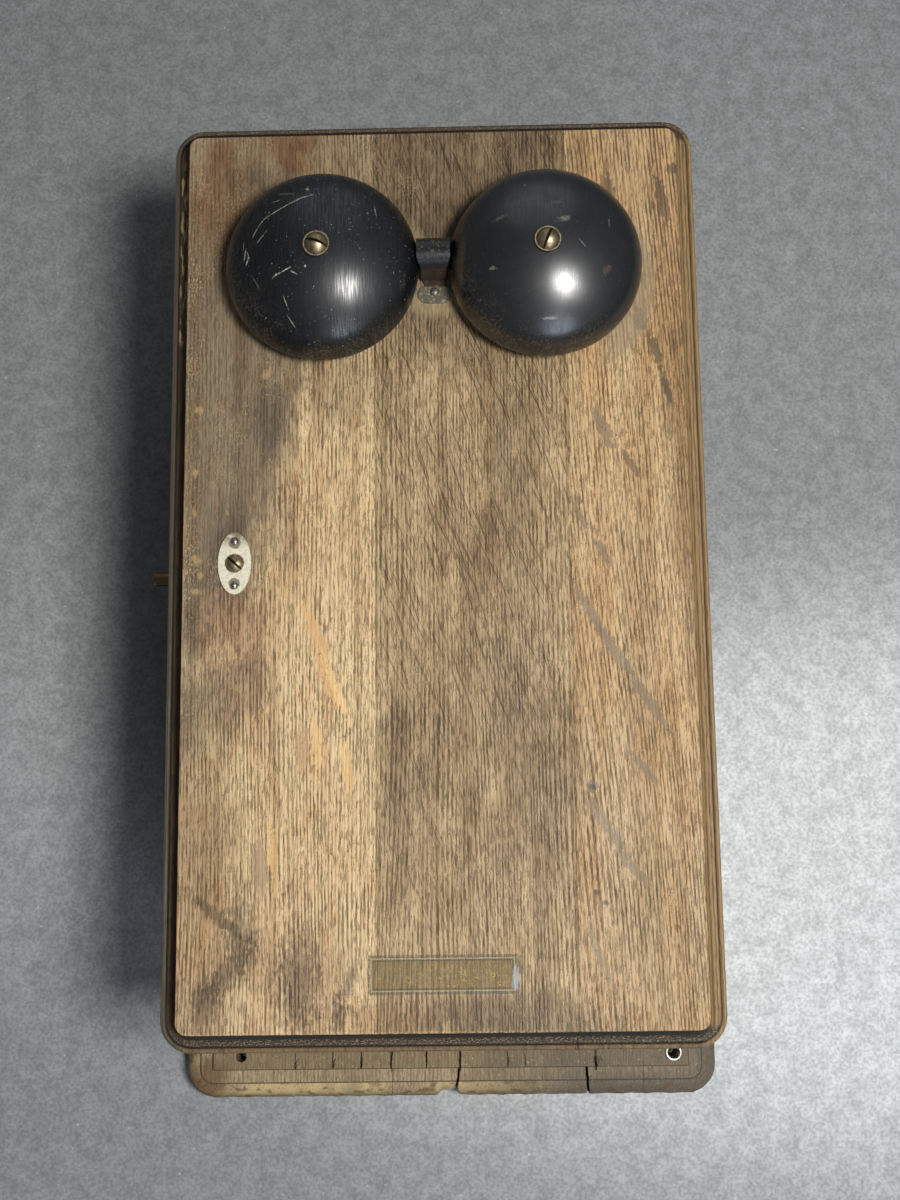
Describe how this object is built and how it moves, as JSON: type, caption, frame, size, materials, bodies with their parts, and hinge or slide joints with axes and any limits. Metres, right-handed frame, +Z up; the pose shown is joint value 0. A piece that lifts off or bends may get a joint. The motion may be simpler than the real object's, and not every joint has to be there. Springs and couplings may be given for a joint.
{
  "type": "telephone ringer box",
  "caption": "Oak wall telephone ringer box: moulded backboard, hinged door with two black gongs and clapper hood, hand generator, coils and terminals inside.",
  "frame": {"origin": "middle of the backboard's back face, where it lies against the wall", "axes": "+Z up along the backboard's length, +X to the right seen from the front, +Y into the wall; the door faces -Y"},
  "size_m": [0.2475, 0.1844, 0.444],
  "materials": {
    "oak_door": "worn brown finish, satin",
    "oak_case": "worn dark brown finish, satin",
    "oak_backboard": "worn greyish brown finish, matte",
    "pale_wood": "oiled, satin",
    "black_japan": "black japan, satin, scratched",
    "brass": "aged, satin",
    "nickel": "old nickel plate, dull",
    "soft_iron": "bare, dark, satin",
    "magnet_steel": "black japan",
    "steel": "bright, slightly tarnished",
    "coil_cover": "varnished paper wrap",
    "green_silk": "silk-covered wire, varnished",
    "armature_wire": "cotton-covered wire, shellacked",
    "hard_rubber": "polished hard rubber",
    "tin": "tinned, dull",
    "wire_cover": "waxed cotton braid"
  },
  "bodies": {
    "case": {"backboard": "oak_backboard", "left_wall": "oak_case", "right_wall": "oak_case", "top_wall": "oak_case", "bottom_wall": "oak_case", "generator_shelf": "pale_wood", "wall_screw_ferrule": "nickel", "case_hinge_leaves": "brass", "hinge_pins": "brass", "case_screws": "brass", "latch_keeper": "brass", "shaft_bushing": "brass", "bed_plate": "brass", "generator_screws": "steel", "pole_pieces": "soft_iron", "magnets": "magnet_steel", "left_end_plate": "brass", "right_end_plate": "brass", "magnet_clamps": "brass", "contact_block": "hard_rubber", "contact_springs": "brass", "induction_heads": "pale_wood", "induction_winding": "green_silk", "induction_core": "soft_iron", "terminal_strip": "hard_rubber", "terminal_screws": "brass", "condenser": "tin", "condenser_strap": "steel", "case_wiring": "wire_cover"},
    "door": {"door_panel": "oak_door", "door_hinge_leaves": "brass", "door_screws": "brass", "left_gong": "black_japan", "right_gong": "black_japan", "gong_posts": "brass", "gong_washers": "nickel", "gong_screws": "brass", "hood": "black_japan", "hood_screw": "steel", "latch_plate": "nickel", "latch_plate_pins": "nickel", "ringer_plate": "steel", "ringer_yoke": "soft_iron", "ringer_cores": "soft_iron", "ringer_coils": "coil_cover", "ringer_magnet": "magnet_steel", "armature_bracket": "brass", "pivot_pin": "steel", "door_wiring": "wire_cover"},
    "clapper": {"ringer_armature": "soft_iron", "clapper_rod": "steel", "clapper_ball": "brass"},
    "latch": {"latch_screw": "brass", "latch_cam": "brass"},
    "crank": {"crank_shaft": "brass", "drive_gear": "brass"},
    "armature": {"armature_core": "soft_iron", "armature_winding": "armature_wire", "armature_shaft": "steel", "armature_pinion": "steel"}
  },
  "joints": [
    {"name": "door_hinge", "type": "hinge", "parent": "case", "child": "door", "pos_m": [0.1034, -0.1279, 0], "axis": [0, 0, 1], "range_deg": [0, 145]},
    {"name": "clapper_rock", "type": "hinge", "parent": "door", "child": "clapper", "pos_m": [0.0004, -0.1126, 0.051], "axis": [0, 1, 0], "range_deg": [-1.9, 1.9]},
    {"name": "latch_turn", "type": "hinge", "parent": "door", "child": "latch", "pos_m": [-0.0786, -0.1486, 0], "axis": [0, 1, 0], "range_deg": [0, 90]},
    {"name": "crank_spin", "type": "hinge", "parent": "case", "child": "crank", "pos_m": [0, -0.074, 0.008], "axis": [1, 0, 0], "continuous": true},
    {"name": "armature_spin", "type": "hinge", "parent": "case", "child": "armature", "pos_m": [0, -0.074, -0.0298], "axis": [1, 0, 0], "continuous": true}
  ],
  "couplings": [
    {"joint": "armature_spin", "follows": "crank_spin", "ratio": -5}
  ]
}
